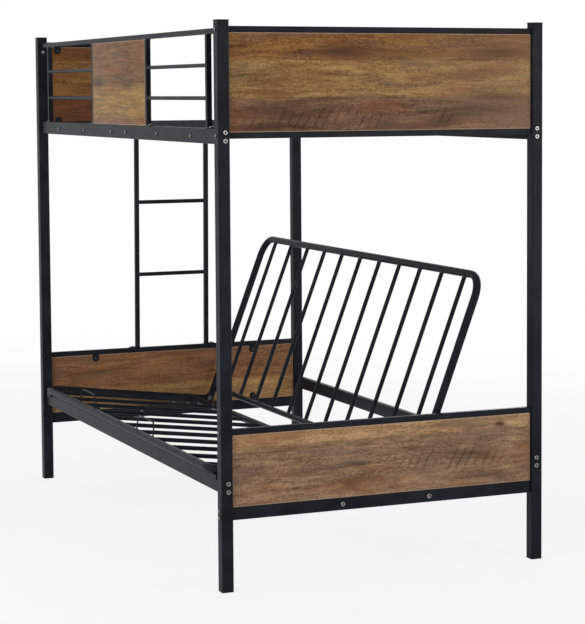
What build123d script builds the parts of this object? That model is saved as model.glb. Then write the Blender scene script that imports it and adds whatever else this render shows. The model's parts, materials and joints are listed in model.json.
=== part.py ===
from build123d import *
import os
from math import atan2, cos, radians, sin, tan

# A sofa under a single bunk. Four square posts carry two end panels with boards, four long rails,
# two guards, a slatted upper deck and a ladder on the far end. The sofa is a tube seat and a tube
# back, hinged together. It opens to a wide bed: the seat slides forward over the front rail while
# its rear comes up level, and the back lies down onto the back rail.
# Millimetres. X runs along the bed, the near end is +X. The front of the sofa faces -Y. Z is up.
# The origin is on the floor under the middle of the frame.

# Overall frame, measured outside the posts
frame_length = 1980.0
frame_width = 1060.0
frame_height = 1664.0

# General clearances
cut_overrun = 2.0
thread_clearance = 0.1
bolt_clearance = 0.2
pin_clearance = 0.05
running_gap = 0.3
board_gap = 1.0

# Corner posts, their caps and their feet
post_side = 36.0
post_wall = 1.5
post_corner = 3.0
cap_thickness = 3.0
cap_lip = 1.0
cap_stub = 14.0
cap_edge = 1.0
foot_thickness = 6.0
foot_stub = 20.0
plug_clearance = 0.1

# Rails of the end panels
end_rail_side = 18.0
end_rail_wall = 1.5
end_rail_corner = 2.0
insert_length = 12.0
upper_panel_top_gap = 18.0
upper_panel_height = 324.0
lower_panel_low = 210.0
lower_panel_high = 478.0
lower_panel_foot = 38.0
foot_screw_spread_share = 0.29
entry_half_width = 175.0

# Boards
board_thickness = 15.0
board_recess = 1.0

# Long rails
long_rail_height = 45.0
long_rail_depth = 20.0
long_rail_wall = 1.5
long_rail_corner = 2.5
long_rail_recess = 11.0
upper_rail_drop = 16.0
lower_rail_low = 286.0

# Bolts through the posts into the long rails
frame_bolt_radius = 3.9
frame_bolt_head_radius = 7.0
frame_bolt_head = 4.5
frame_bolt_socket = 3.3
bolt_low_in_rail = 10.0
bolt_high_in_rail = 34.5

# Screws through the posts into the end rails, and small screws
screw_radius = 3.0
screw_head_radius = 5.5
screw_head = 3.2
screw_socket = 2.2
socket_depth_share = 0.7
head_edge = 0.8
nut_across_flats = 10.0
nut_height = 5.0
bolt_stub = 1.5
frame_nut_across_flats = 13.0
frame_nut_height = 6.5

# Guards
guard_tube = 16.0
guard_wall = 1.2
guard_corner = 1.5
guard_top_gap = 23.0
guard_end_gap = 94.0
guard_mid_upright_x = 294.0
guard_rod_radius = 6.0
guard_rod_wall = 1.0
guard_rod_shares = (0.3212, 0.6715)
guard_plate_drop = 30.0
guard_plate_thickness = 3.0
guard_bolt_drop = 16.0
foot_plate_thickness = 3.0
foot_plate_reach = 24.0
foot_screw_share = 0.5

# Screw tabs that hold the boards
tab_radius = 12.0
tab_thickness = 3.0
tab_screw_reach = 14.0
tab_screw_radius = 1.8
tab_screw_head_radius = 4.2
tab_screw_head = 2.4
tab_screw_socket = 1.5
tab_screw_grip = 9.0
upper_tab_end_gap = 41.0
lower_tab_end_gap = 173.0
guard_tab_end_gap = 44.0

# Ladder on the far end
ladder_tube = 16.0
ladder_wall = 1.2
ladder_centre_y = -10.0
ladder_entry_gap = 35.0
ladder_rung_radius = 7.5
ladder_rung_shares = (0.3317, 0.6623)
ladder_foot_out = 1.0

# Upper deck: two sections of cross rods on angle strips
deck_strip_side = 28.0
deck_strip_thickness = 3.0
deck_rod_radius = 7.0
deck_rod_wall = 1.0
deck_end_rod_gap = 70.0
deck_rods_per_section = 6
deck_end_margin = 4.0
deck_middle_margin = 8.0
deck_bar_width = 20.0
deck_bar_height = 6.0
deck_rod_end_gap = 2.0
deck_bolt_in_rail = 21.0
deck_bolt_rod_steps = (0.5, 2.5, 4.5)

# Seat
seat_front_inset = 2.5
seat_front_rise = 19.0
hinge_back_gap = 375.39
hinge_panel_rise = 60.0537
futon_side_gap = 44.0
futon_tube_radius = 12.5
futon_tube_wall = 1.5
seat_corner_radius = 60.0
seat_tube_end_gap = 29.0
seat_rear_tube_gap = 79.0
futon_rod_radius = 7.0
futon_rod_wall = 1.0
futon_end_rod_gap = 110.0
futon_rod_count = 11
tube_plug_thickness = 2.0
tube_plug_stub = 10.0

# Mattress hoops on the front tube
hoop_wire_radius = 2.5
hoop_width = 165.0
hoop_height = 45.0
hoop_corner = 22.0
hoop_centres_x = (-385.0, 265.0)

# Backrest
back_lean = radians(20.8)
back_height = 659.5
back_corner_radius = 70.0
back_tube_start = 35.0
back_bar_radius = 10.0
back_bar_wall = 1.2
back_bar_reach = 45.0

# Hinge between seat and back
hinge_plate_thickness = 4.0
hinge_boss_radius = 18.0
back_plate_boss_radius = 16.0
back_plate_reach = 112.0
back_plate_width = 25.0
back_plate_bolt_reaches = (66.0, 96.0)
hinge_pin_radius = 6.0
hinge_pin_head_radius = 9.0
hinge_pin_head = 3.0
bracket_reach = 170.0
bracket_flange_end_gap = 24.0
bracket_flange_width = 30.0
bracket_web_rise = 4.0
bracket_bolt_gaps = (92.0, 150.0)

# Brackets on the end rails that the sofa's rear rests on
support_end_margin = 23.4
support_shelf_width = 68.0
support_thickness = 4.0
support_bolt_end_gap = 22.0
seat_rest_gap = 0.4

# Nylon saddles on the front rail
glide_width = 50.0
glide_lip = 4.0
glide_lip_drop = 10.0
glide_outer_reach = 15.0

# Places worked out from the sizes above
post_x = (frame_length - post_side) / 2
post_y = (frame_width - post_side) / 2
inner_x = post_x - post_side / 2
inner_y = post_y - post_side / 2
end_rail_inner_x = post_x - end_rail_side / 2
end_rail_outer_x = post_x + end_rail_side / 2
rail_front_y = frame_width / 2 - long_rail_recess
rail_y = rail_front_y - long_rail_depth / 2
rail_back_y = rail_front_y - long_rail_depth
upper_panel_high = frame_height - upper_panel_top_gap
upper_panel_low = upper_panel_high - upper_panel_height
upper_rail_low = upper_panel_low - upper_rail_drop
upper_rail_high = upper_rail_low + long_rail_height
lower_rail_high = lower_rail_low + long_rail_height
board_outer_x = end_rail_outer_x - board_recess
board_inner_x = board_outer_x - board_thickness
upper_board_low = upper_panel_low + end_rail_side
upper_board_high = upper_panel_high - end_rail_side
lower_board_low = lower_panel_low + lower_panel_foot
lower_board_high = lower_panel_high - end_rail_side
opening_upright_y = entry_half_width + end_rail_side / 2
board_end_y = inner_y - board_gap
opening_board_y = entry_half_width + end_rail_side + board_gap
upper_tab_y = board_end_y - upper_tab_end_gap
upper_tab_inner_y = opening_board_y + upper_tab_end_gap
lower_tab_y = board_end_y - lower_tab_end_gap
guard_y = rail_front_y - guard_tube / 2
guard_high = frame_height - guard_top_gap
guard_rail_low = guard_high - guard_tube
guard_board_inner_y = rail_front_y - board_thickness
guard_bolt_z = guard_rail_low - guard_bolt_drop
guard_end_upright_x = inner_x - guard_end_gap
guard_tab_x = guard_mid_upright_x - guard_tab_end_gap
guard_window_height = guard_rail_low - upper_rail_high
guard_rod_heights = [upper_rail_high + guard_window_height * share for share in guard_rod_shares]
foot_screw_reach = foot_plate_reach * foot_screw_share

frame_bolt_heights = (
    lower_rail_low + bolt_low_in_rail,
    lower_rail_low + bolt_high_in_rail,
    upper_rail_low + bolt_low_in_rail,
    upper_rail_low + bolt_high_in_rail,
)
upper_top_screw = upper_panel_high - end_rail_side / 2
upper_bottom_screw = upper_panel_low + end_rail_side / 2
lower_top_screw = lower_panel_high - end_rail_side / 2
lower_foot_middle = lower_panel_low + lower_panel_foot / 2
lower_foot_screws = (
    lower_foot_middle - lower_panel_foot * foot_screw_spread_share,
    lower_foot_middle + lower_panel_foot * foot_screw_spread_share,
)
post_screw_heights = (upper_top_screw, upper_bottom_screw, lower_top_screw) + lower_foot_screws

ladder_half_pitch = entry_half_width - ladder_entry_gap
ladder_foot_x = post_x + ladder_foot_out
ladder_sides_y = (ladder_centre_y - ladder_half_pitch, ladder_centre_y + ladder_half_pitch)
ladder_top_x = end_rail_inner_x - ladder_tube / 2
ladder_foot_z = lower_panel_high + foot_plate_thickness
ladder_top_z = upper_board_low
ladder_foot_reach = ladder_tube / 2 + foot_screw_reach
ladder_foot_holes_y = (
    ladder_sides_y[0] - ladder_foot_reach,
    ladder_sides_y[1] + ladder_foot_reach,
)
ladder_run = ladder_foot_x - ladder_top_x
ladder_rise = upper_panel_low - ladder_foot_z
ladder_rung_heights = [ladder_foot_z + ladder_rise * share for share in ladder_rung_shares]

deck_strip_high = upper_rail_high - 2 * deck_rod_radius
deck_half = inner_x - deck_end_margin
deck_rod_pitch = (deck_half - deck_end_rod_gap) / (deck_rods_per_section - 0.5)
deck_bolt_height = upper_rail_low + deck_bolt_in_rail
deck_rod_xs = [
    side * deck_rod_pitch * (step + 0.5)
    for side in (-1, 1)
    for step in range(deck_rods_per_section)
]
deck_bolt_xs = [side * deck_rod_pitch * steps for side in (-1, 1) for steps in deck_bolt_rod_steps]

# The seat's plane runs back and down from the front tube, and ends at the hinge pin
seat_front_y = seat_front_inset - frame_width / 2
seat_front_z = lower_rail_high + seat_front_rise
hinge_y = rail_back_y - hinge_back_gap
hinge_z = lower_panel_low + hinge_panel_rise
hinge_point = Vector(0, hinge_y, hinge_z)
seat_tilt = atan2(seat_front_z - hinge_z, hinge_y - seat_front_y)
seat_depth = (hinge_y - seat_front_y) / cos(seat_tilt)
seat_back_dir = Vector(0, cos(seat_tilt), -sin(seat_tilt))
seat_up_dir = Vector(0, sin(seat_tilt), cos(seat_tilt))
seat_front = Vector(0, seat_front_y, seat_front_z)
glide_point = Vector(0, -rail_y, lower_rail_high)
seat_over_rail = (seat_front - glide_point).dot(seat_up_dir)

# The back's plane lies behind the pin, so that the back's tube comes down onto the back rail
back_up_dir = Vector(0, sin(back_lean), cos(back_lean))
back_front_dir = Vector(0, -cos(back_lean), sin(back_lean))
back_offset = seat_over_rail - futon_tube_radius - running_gap
back_foot = hinge_point - back_front_dir * back_offset

futon_half_width = inner_x - futon_side_gap
futon_outer_x = futon_half_width + futon_tube_radius
futon_rod_pitch = 2 * (futon_half_width - futon_end_rod_gap) / (futon_rod_count - 1)
bracket_web_x = futon_outer_x + hinge_plate_thickness + running_gap
bracket_web_outer_x = bracket_web_x + hinge_plate_thickness
futon_rod_xs = [
    futon_rod_pitch * (number - (futon_rod_count - 1) / 2) for number in range(futon_rod_count)
]
support_shelf_high = hinge_z - hinge_boss_radius - seat_rest_gap
support_half_length = hinge_y + hinge_boss_radius + support_end_margin
support_bolt_y = support_half_length - support_bolt_end_gap
support_bolt_z = lower_foot_middle


def facing(normal, x, y, z):
    """A plane at a point, square to a level normal, with its own y axis straight up."""
    return Plane(origin=(x, y, z), x_dir=Vector(0, 0, 1).cross(Vector(*normal)), z_dir=normal)


east = (1, 0, 0)
north = (0, 1, 0)

seat_plane = Plane(origin=seat_front, x_dir=east, z_dir=seat_up_dir)
back_plane = Plane(origin=back_foot, x_dir=east, z_dir=back_front_dir)

os.makedirs("parts", exist_ok=True)


def save(builder, name):
    """Labels a finished piece and writes its file."""
    builder.part.label = name
    export_step(builder.part, f"parts/{name}.step")


def make_bolt(radius, grip, head_radius, head_height, socket_radius):
    """A button-head bolt along Z: its head stands on the XY plane and its shank hangs below."""
    with BuildPart() as bolt:
        with BuildSketch():
            Circle(radius)
        extrude(amount=-grip)
        with BuildSketch():
            Circle(head_radius)
        extrude(amount=head_height)
        chamfer(bolt.faces().sort_by(Axis.Z)[-1].edges(), head_edge)
        with BuildSketch(Plane.XY.offset(head_height)):
            RegularPolygon(radius=socket_radius, side_count=6)
        extrude(amount=-head_height * socket_depth_share, mode=Mode.SUBTRACT)
    return bolt.part


def make_nut(radius, across_flats, height):
    """A hexagon nut along Z whose seat is the XY plane, with its body below."""
    with BuildPart() as nut:
        with BuildSketch():
            RegularPolygon(radius=across_flats / 2, side_count=6, major_radius=False)
            Circle(radius + thread_clearance, mode=Mode.SUBTRACT)
        extrude(amount=-height)
    return nut.part


# Posts, caps and feet


def make_post(side_x, side_y):
    """A square tube post with its bolt holes along X and its screw holes along Y."""
    hole_heights = frame_bolt_heights
    with BuildPart() as post:
        with BuildSketch(Plane.XY.offset(foot_thickness)):
            with Locations((side_x * post_x, side_y * post_y)):
                RectangleRounded(post_side, post_side, post_corner)
                Rectangle(
                    post_side - 2 * post_wall, post_side - 2 * post_wall, mode=Mode.SUBTRACT
                )
        extrude(amount=frame_height - cap_thickness - foot_thickness)
        with BuildSketch(facing(east, side_x * post_x - post_side / 2 - cut_overrun, 0, 0)):
            with Locations(*[(side_y * rail_y, height) for height in hole_heights]):
                Circle(frame_bolt_radius + bolt_clearance)
        extrude(amount=post_side + 2 * cut_overrun, mode=Mode.SUBTRACT)
        with BuildSketch(facing(east, side_x * (inner_x - cut_overrun), 0, 0)):
            with Locations((side_y * guard_y, guard_bolt_z)):
                Circle(screw_radius + bolt_clearance)
        extrude(amount=side_x * (post_wall + 2 * cut_overrun), mode=Mode.SUBTRACT)
        with BuildSketch(facing(north, 0, side_y * post_y - post_side / 2 - cut_overrun, 0)):
            with Locations(*[(-side_x * post_x, height) for height in post_screw_heights]):
                Circle(screw_radius + bolt_clearance)
        extrude(amount=post_side + 2 * cut_overrun, mode=Mode.SUBTRACT)
    return post


post_names = {
    (1, -1): "near_front_post",
    (1, 1): "near_back_post",
    (-1, -1): "far_front_post",
    (-1, 1): "far_back_post",
}
for corner, post_name in post_names.items():
    save(make_post(*corner), post_name)

post_spots = [(side_x * post_x, side_y * post_y) for side_x, side_y in post_names]
plug_side = post_side - 2 * (post_wall + plug_clearance)

with BuildPart() as post_caps:
    with BuildSketch(Plane.XY.offset(frame_height - cap_thickness)):
        with Locations(*post_spots):
            RectangleRounded(post_side + 2 * cap_lip, post_side + 2 * cap_lip, post_corner)
    extrude(amount=cap_thickness)
    chamfer(post_caps.faces().filter_by(Plane.XY).group_by(Axis.Z)[-1].edges(), cap_edge)
    with BuildSketch(Plane.XY.offset(frame_height - cap_thickness)):
        with Locations(*post_spots):
            Rectangle(plug_side, plug_side)
    extrude(amount=-cap_stub)
save(post_caps, "post_caps")

with BuildPart() as post_feet:
    with BuildSketch():
        with Locations(*post_spots):
            RectangleRounded(post_side, post_side, post_corner)
    extrude(amount=foot_thickness)
    with BuildSketch(Plane.XY.offset(foot_thickness)):
        with Locations(*post_spots):
            Rectangle(plug_side, plug_side)
    extrude(amount=foot_stub)
save(post_feet, "post_feet")


# End panels


def make_end_rail(side_x, low, high, screw_heights, spans, cross_holes=(), top_holes=()):
    """Square tube across an end, with a threaded insert where it meets each post."""
    middle = (low + high) / 2
    bore_width = end_rail_side - 2 * end_rail_wall
    bore_height = high - low - 2 * end_rail_wall
    with BuildPart() as rail:
        for start, end in spans:
            with BuildSketch(facing(north, side_x * post_x, start, middle)):
                RectangleRounded(end_rail_side, high - low, end_rail_corner)
                Rectangle(bore_width, bore_height, mode=Mode.SUBTRACT)
            extrude(amount=end - start)
        for side_y in (-1, 1):
            with BuildSketch(facing(north, side_x * post_x, side_y * inner_y, middle)):
                Rectangle(bore_width, bore_height)
            extrude(amount=-side_y * insert_length)
            with BuildSketch(facing(north, 0, side_y * (inner_y + cut_overrun), 0)):
                with Locations(*[(-side_x * post_x, height) for height in screw_heights]):
                    Circle(screw_radius + thread_clearance)
            extrude(amount=-side_y * (insert_length + 2 * cut_overrun), mode=Mode.SUBTRACT)
        for hole_y, hole_z, hole_radius in cross_holes:
            with BuildSketch(facing(east, side_x * post_x, 0, 0)):
                with Locations((hole_y, hole_z)):
                    Circle(hole_radius)
            extrude(amount=end_rail_side / 2 + cut_overrun, both=True, mode=Mode.SUBTRACT)
        for hole_y in top_holes:
            with BuildSketch(Plane.XY.offset(high)):
                with Locations((side_x * post_x, hole_y)):
                    Circle(screw_radius + thread_clearance)
            extrude(amount=-end_rail_wall - cut_overrun, mode=Mode.SUBTRACT)
    return rail


full_span = ((-inner_y, inner_y),)
short_spans = (
    (-inner_y, -entry_half_width - end_rail_side),
    (entry_half_width + end_rail_side, inner_y),
)
ladder_holes = [(y, upper_bottom_screw, screw_radius + bolt_clearance) for y in ladder_sides_y]
support_holes = [
    (side_y * support_bolt_y, support_bolt_z, frame_bolt_radius + bolt_clearance)
    for side_y in (-1, 1)
]

for side_x, end_name in ((1, "near"), (-1, "far")):
    top_spans = full_span if side_x > 0 else short_spans
    top_name = "near_upper_top_rail" if side_x > 0 else "far_upper_top_rails"
    upper_top_low = upper_panel_high - end_rail_side
    upper_top = make_end_rail(side_x, upper_top_low, upper_panel_high, (upper_top_screw,), top_spans)
    save(upper_top, top_name)
    upper_bottom = make_end_rail(
        side_x,
        upper_panel_low,
        upper_board_low,
        (upper_bottom_screw,),
        full_span,
        () if side_x > 0 else ladder_holes,
    )
    save(upper_bottom, f"{end_name}_upper_bottom_rail")
    lower_top = make_end_rail(
        side_x,
        lower_board_high,
        lower_panel_high,
        (lower_top_screw,),
        full_span,
        top_holes=() if side_x > 0 else ladder_foot_holes_y,
    )
    save(lower_top, f"{end_name}_lower_top_rail")
    lower_bottom = make_end_rail(
        side_x, lower_panel_low, lower_board_low, lower_foot_screws, full_span, support_holes
    )
    save(lower_bottom, f"{end_name}_lower_bottom_rail")

with BuildPart() as far_opening_uprights:
    with BuildSketch(Plane.XY.offset(upper_board_low)):
        with Locations(*[(-post_x, side_y * opening_upright_y) for side_y in (-1, 1)]):
            RectangleRounded(end_rail_side, end_rail_side, end_rail_corner)
            Rectangle(
                end_rail_side - 2 * end_rail_wall,
                end_rail_side - 2 * end_rail_wall,
                mode=Mode.SUBTRACT,
            )
    extrude(amount=upper_panel_high - upper_board_low)
save(far_opening_uprights, "far_opening_uprights")


# Boards and the tabs that hold them


def make_end_board(side_x, y_from, y_to, low, high, tab_ys):
    """A flat board between two end rails, drilled on its inner face for its tab screws."""
    inner_face = side_x * board_inner_x
    screw_spots = [(y, z) for y in tab_ys for z in (low + tab_screw_reach, high - tab_screw_reach)]
    with BuildPart() as board:
        with BuildSketch(facing(east, inner_face, (y_from + y_to) / 2, (low + high) / 2)):
            Rectangle(y_to - y_from, high - low)
        extrude(amount=side_x * board_thickness)
        with BuildSketch(facing(east, inner_face, 0, 0)):
            with Locations(*screw_spots):
                Circle(tab_screw_radius + thread_clearance)
        extrude(amount=side_x * tab_screw_grip, mode=Mode.SUBTRACT)
    return board


upper_outer_tabs = (-upper_tab_y, upper_tab_y)
lower_tabs = (-lower_tab_y, lower_tab_y)
front_opening_tabs = (-upper_tab_y, -upper_tab_inner_y)
back_opening_tabs = (upper_tab_inner_y, upper_tab_y)

near_upper_board = make_end_board(
    1, -board_end_y, board_end_y, upper_board_low, upper_board_high, upper_outer_tabs
)
save(near_upper_board, "near_upper_board")
far_upper_front_board = make_end_board(
    -1, -board_end_y, -opening_board_y, upper_board_low, upper_board_high, front_opening_tabs
)
save(far_upper_front_board, "far_upper_front_board")
far_upper_back_board = make_end_board(
    -1, opening_board_y, board_end_y, upper_board_low, upper_board_high, back_opening_tabs
)
save(far_upper_back_board, "far_upper_back_board")
for side_x, end_name in ((1, "near"), (-1, "far")):
    lower_board = make_end_board(
        side_x, -board_end_y, board_end_y, lower_board_low, lower_board_high, lower_tabs
    )
    save(lower_board, f"{end_name}_lower_board")

# Each tab's root: a plane on the board's inner face, and which way the tab points from its rail
tab_roots = []
for side_x, tab_ys in ((1, upper_outer_tabs), (-1, front_opening_tabs + back_opening_tabs)):
    for tab_y in tab_ys:
        tab_roots.append((facing((-side_x, 0, 0), side_x * board_inner_x, tab_y, upper_board_high), -1))
        tab_roots.append((facing((-side_x, 0, 0), side_x * board_inner_x, tab_y, upper_board_low), 1))
for side_x in (1, -1):
    for tab_y in lower_tabs:
        tab_roots.append((facing((-side_x, 0, 0), side_x * board_inner_x, tab_y, lower_board_high), -1))
        tab_roots.append((facing((-side_x, 0, 0), side_x * board_inner_x, tab_y, lower_board_low), 1))
for side_y in (-1, 1):
    for tab_x in (-guard_tab_x, guard_tab_x):
        guard_face = side_y * guard_board_inner_y
        tab_roots.append((facing((0, -side_y, 0), tab_x, guard_face, guard_rail_low), -1))
        tab_roots.append((facing((0, -side_y, 0), tab_x, guard_face, upper_rail_high), 1))

with BuildPart() as board_tabs:
    for root, way in tab_roots:
        with BuildSketch(root):
            with Locations((0, way * tab_screw_reach)):
                Circle(tab_radius)
            with Locations((0, way * tab_screw_reach / 2)):
                Rectangle(2 * tab_radius, tab_screw_reach)
            with Locations((0, way * tab_screw_reach)):
                Circle(tab_screw_radius + bolt_clearance, mode=Mode.SUBTRACT)
        extrude(amount=tab_thickness)
save(board_tabs, "board_tabs")

tab_screw = make_bolt(
    tab_screw_radius,
    tab_thickness + tab_screw_grip - board_gap,
    tab_screw_head_radius,
    tab_screw_head,
    tab_screw_socket,
)
tab_screw_spots = [root * Pos(0, way * tab_screw_reach, tab_thickness) for root, way in tab_roots]
with BuildPart() as tab_screws:
    with Locations(*tab_screw_spots):
        add(tab_screw)
save(tab_screws, "tab_screws")


# Long rails


def make_long_rail(side_y, low, face_holes=(), foot_holes=()):
    """Oblong tube between two posts, with threaded inserts in its ends."""
    middle = low + long_rail_height / 2
    bore_depth = long_rail_depth - 2 * long_rail_wall
    bore_height = long_rail_height - 2 * long_rail_wall
    with BuildPart() as rail:
        with BuildSketch(facing(east, -inner_x, side_y * rail_y, middle)):
            RectangleRounded(long_rail_depth, long_rail_height, long_rail_corner)
            Rectangle(bore_depth, bore_height, mode=Mode.SUBTRACT)
        extrude(amount=2 * inner_x)
        for side_x in (-1, 1):
            with BuildSketch(facing(east, side_x * inner_x, side_y * rail_y, middle)):
                Rectangle(bore_depth, bore_height)
            extrude(amount=-side_x * insert_length)
            with BuildSketch(facing(east, side_x * (inner_x + cut_overrun), side_y * rail_y, low)):
                with Locations((0, bolt_low_in_rail), (0, bolt_high_in_rail)):
                    Circle(frame_bolt_radius + thread_clearance)
            extrude(amount=-side_x * (insert_length + 2 * cut_overrun), mode=Mode.SUBTRACT)
        if face_holes:
            with BuildSketch(facing(north, 0, side_y * rail_y, 0)):
                with Locations(*[(-hole_x, deck_bolt_height) for hole_x in face_holes]):
                    Circle(screw_radius + bolt_clearance)
            extrude(amount=long_rail_depth / 2 + cut_overrun, both=True, mode=Mode.SUBTRACT)
        if foot_holes:
            with BuildSketch(Plane.XY.offset(low + long_rail_height)):
                with Locations(*[(hole_x, side_y * guard_y) for hole_x in foot_holes]):
                    Circle(screw_radius + thread_clearance)
            extrude(amount=-long_rail_wall - cut_overrun, mode=Mode.SUBTRACT)
    return rail


guard_upright_xs = [
    side_x * upright_x for side_x in (-1, 1) for upright_x in (guard_mid_upright_x, guard_end_upright_x)
]
guard_foot_screw_xs = [
    upright_x + (guard_tube / 2 + foot_screw_reach) * (1 if upright_x > 0 else -1)
    for upright_x in guard_upright_xs
]
sides_y = {-1: "front", 1: "back"}
for side_y, side_name in sides_y.items():
    upper_rail = make_long_rail(side_y, upper_rail_low, deck_bolt_xs, guard_foot_screw_xs)
    save(upper_rail, f"upper_{side_name}_rail")
    save(make_long_rail(side_y, lower_rail_low), f"lower_{side_name}_rail")


# Guards


def make_guard_rail(side_y):
    """The guard's top tube, with a drop plate welded to each end."""
    tube_half = inner_x - guard_plate_thickness
    plate_low = guard_rail_low - guard_plate_drop
    with BuildPart() as rail:
        with BuildSketch(facing(east, -tube_half, side_y * guard_y, guard_high - guard_tube / 2)):
            RectangleRounded(guard_tube, guard_tube, guard_corner)
            Rectangle(
                guard_tube - 2 * guard_wall, guard_tube - 2 * guard_wall, mode=Mode.SUBTRACT
            )
        extrude(amount=2 * tube_half)
        for side_x in (-1, 1):
            plate_middle = (plate_low + guard_high) / 2
            with BuildSketch(facing(east, side_x * tube_half, side_y * guard_y, plate_middle)):
                Rectangle(guard_tube, guard_high - plate_low)
            extrude(amount=side_x * guard_plate_thickness)
            with BuildSketch(facing(east, side_x * tube_half, side_y * guard_y, guard_bolt_z)):
                Circle(screw_radius + bolt_clearance)
            extrude(amount=side_x * guard_plate_thickness, mode=Mode.SUBTRACT)
    return rail


def make_guard_uprights(side_y):
    """Four short uprights, each on a foot plate with a screw hole."""
    foot_length = guard_tube + foot_plate_reach
    with BuildPart() as uprights:
        for upright_x in guard_upright_xs:
            way = 1 if upright_x > 0 else -1
            with BuildSketch(Plane.XY.offset(upper_rail_high)):
                with Locations((upright_x + way * foot_plate_reach / 2, side_y * guard_y)):
                    Rectangle(foot_length, guard_tube)
                with Locations(
                    (upright_x + way * (guard_tube / 2 + foot_screw_reach), side_y * guard_y)
                ):
                    Circle(screw_radius + bolt_clearance, mode=Mode.SUBTRACT)
            extrude(amount=foot_plate_thickness)
            with BuildSketch(Plane.XY.offset(upper_rail_high + foot_plate_thickness)):
                with Locations((upright_x, side_y * guard_y)):
                    RectangleRounded(guard_tube, guard_tube, guard_corner)
                    Rectangle(
                        guard_tube - 2 * guard_wall,
                        guard_tube - 2 * guard_wall,
                        mode=Mode.SUBTRACT,
                    )
            extrude(amount=guard_rail_low - upper_rail_high - foot_plate_thickness)
    return uprights


def make_guard_board(side_y):
    """The board set between the guard's two middle uprights."""
    half_length = guard_mid_upright_x - guard_tube / 2 - board_gap
    board_height = guard_rail_low - upper_rail_high
    screw_heights = (upper_rail_high + tab_screw_reach, guard_rail_low - tab_screw_reach)
    with BuildPart() as board:
        with BuildSketch(
            facing(north, 0, side_y * guard_board_inner_y, upper_rail_high + board_height / 2)
        ):
            Rectangle(2 * half_length, board_height)
        extrude(amount=side_y * board_thickness)
        with BuildSketch(facing(north, 0, side_y * guard_board_inner_y, 0)):
            with Locations(*[(x, z) for x in (-guard_tab_x, guard_tab_x) for z in screw_heights]):
                Circle(tab_screw_radius + thread_clearance)
        extrude(amount=side_y * tab_screw_grip, mode=Mode.SUBTRACT)
    return board


def make_guard_rods(side_y):
    """Two rods in each outer window of the guard."""
    rod_start = guard_mid_upright_x + guard_tube / 2
    rod_end = guard_end_upright_x - guard_tube / 2
    with BuildPart() as rods:
        for side_x in (-1, 1):
            with BuildSketch(facing(east, side_x * rod_start, side_y * guard_y, 0)):
                with Locations(*[(0, rod_height) for rod_height in guard_rod_heights]):
                    Circle(guard_rod_radius)
                    Circle(guard_rod_radius - guard_rod_wall, mode=Mode.SUBTRACT)
            extrude(amount=side_x * (rod_end - rod_start))
    return rods


for side_y, side_name in sides_y.items():
    save(make_guard_rail(side_y), f"{side_name}_guard_rail")
    save(make_guard_uprights(side_y), f"{side_name}_guard_uprights")
    save(make_guard_board(side_y), f"{side_name}_guard_board")
    save(make_guard_rods(side_y), f"{side_name}_guard_rods")


# Ladder


def ladder_x(height):
    """Where the leaning uprights' middle line is at a height."""
    return -ladder_foot_x + ladder_run * (height - ladder_foot_z) / ladder_rise


ladder_dir = Vector(ladder_run, 0, ladder_rise).normalized()
ladder_length = (ladder_top_z - ladder_foot_z) / ladder_dir.Z

with BuildPart() as ladder_uprights:
    with BuildSketch(Plane.XY.offset(ladder_foot_z)):
        with Locations(*[(-ladder_foot_x, y) for y in ladder_sides_y]):
            RectangleRounded(ladder_tube, ladder_tube, guard_corner)
            Rectangle(
                ladder_tube - 2 * ladder_wall, ladder_tube - 2 * ladder_wall, mode=Mode.SUBTRACT
            )
    extrude(amount=ladder_length, dir=ladder_dir)
    with BuildSketch(Plane.XY.offset(lower_panel_high)):
        for ladder_side, way in zip(ladder_sides_y, (-1, 1)):
            with Locations((-post_x, ladder_side + way * foot_plate_reach / 2)):
                Rectangle(end_rail_side, ladder_tube + foot_plate_reach)
        with Locations(*[(-post_x, hole_y) for hole_y in ladder_foot_holes_y]):
            Circle(screw_radius + bolt_clearance, mode=Mode.SUBTRACT)
    extrude(amount=foot_plate_thickness)
    with BuildSketch(facing(east, ladder_x(upper_bottom_screw), 0, upper_bottom_screw)):
        with Locations(*[(y, 0) for y in ladder_sides_y]):
            Circle(screw_radius + bolt_clearance)
    extrude(amount=ladder_tube / 2 + cut_overrun, both=True, mode=Mode.SUBTRACT)
save(ladder_uprights, "ladder_uprights")

with BuildPart() as ladder_rungs:
    rung_start = ladder_sides_y[0] + ladder_tube / 2
    rung_end = ladder_sides_y[1] - ladder_tube / 2
    for rung_height in ladder_rung_heights:
        with BuildSketch(facing(north, ladder_x(rung_height), rung_start, rung_height)):
            Circle(ladder_rung_radius)
            Circle(ladder_rung_radius - ladder_wall, mode=Mode.SUBTRACT)
        extrude(amount=rung_end - rung_start)
save(ladder_rungs, "ladder_rungs")


# Upper deck

with BuildPart() as deck_strips:
    for side_x in (-1, 1):
        section_middle = side_x * (deck_half + deck_middle_margin) / 2
        section_length = deck_half - deck_middle_margin
        for side_y in (-1, 1):
            leg_y = side_y * (rail_back_y - deck_strip_thickness / 2)
            shelf_y = side_y * (rail_back_y - deck_strip_side / 2)
            with BuildSketch(facing(east, section_middle, 0, deck_strip_high)):
                with Locations((leg_y, -deck_strip_side / 2)):
                    Rectangle(deck_strip_thickness, deck_strip_side)
                with Locations((shelf_y, -deck_strip_thickness / 2)):
                    Rectangle(deck_strip_side, deck_strip_thickness)
            extrude(amount=section_length / 2, both=True)
        with BuildSketch(facing(east, section_middle, 0, deck_strip_high - deck_bar_height / 2)):
            Rectangle(deck_bar_width, deck_bar_height)
        extrude(amount=section_length / 2, both=True)
    with BuildSketch(facing(north, 0, 0, 0)):
        with Locations(*[(-bolt_x, deck_bolt_height) for bolt_x in deck_bolt_xs]):
            Circle(screw_radius + bolt_clearance)
    extrude(amount=frame_width, both=True, mode=Mode.SUBTRACT)
save(deck_strips, "deck_strips")

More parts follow.
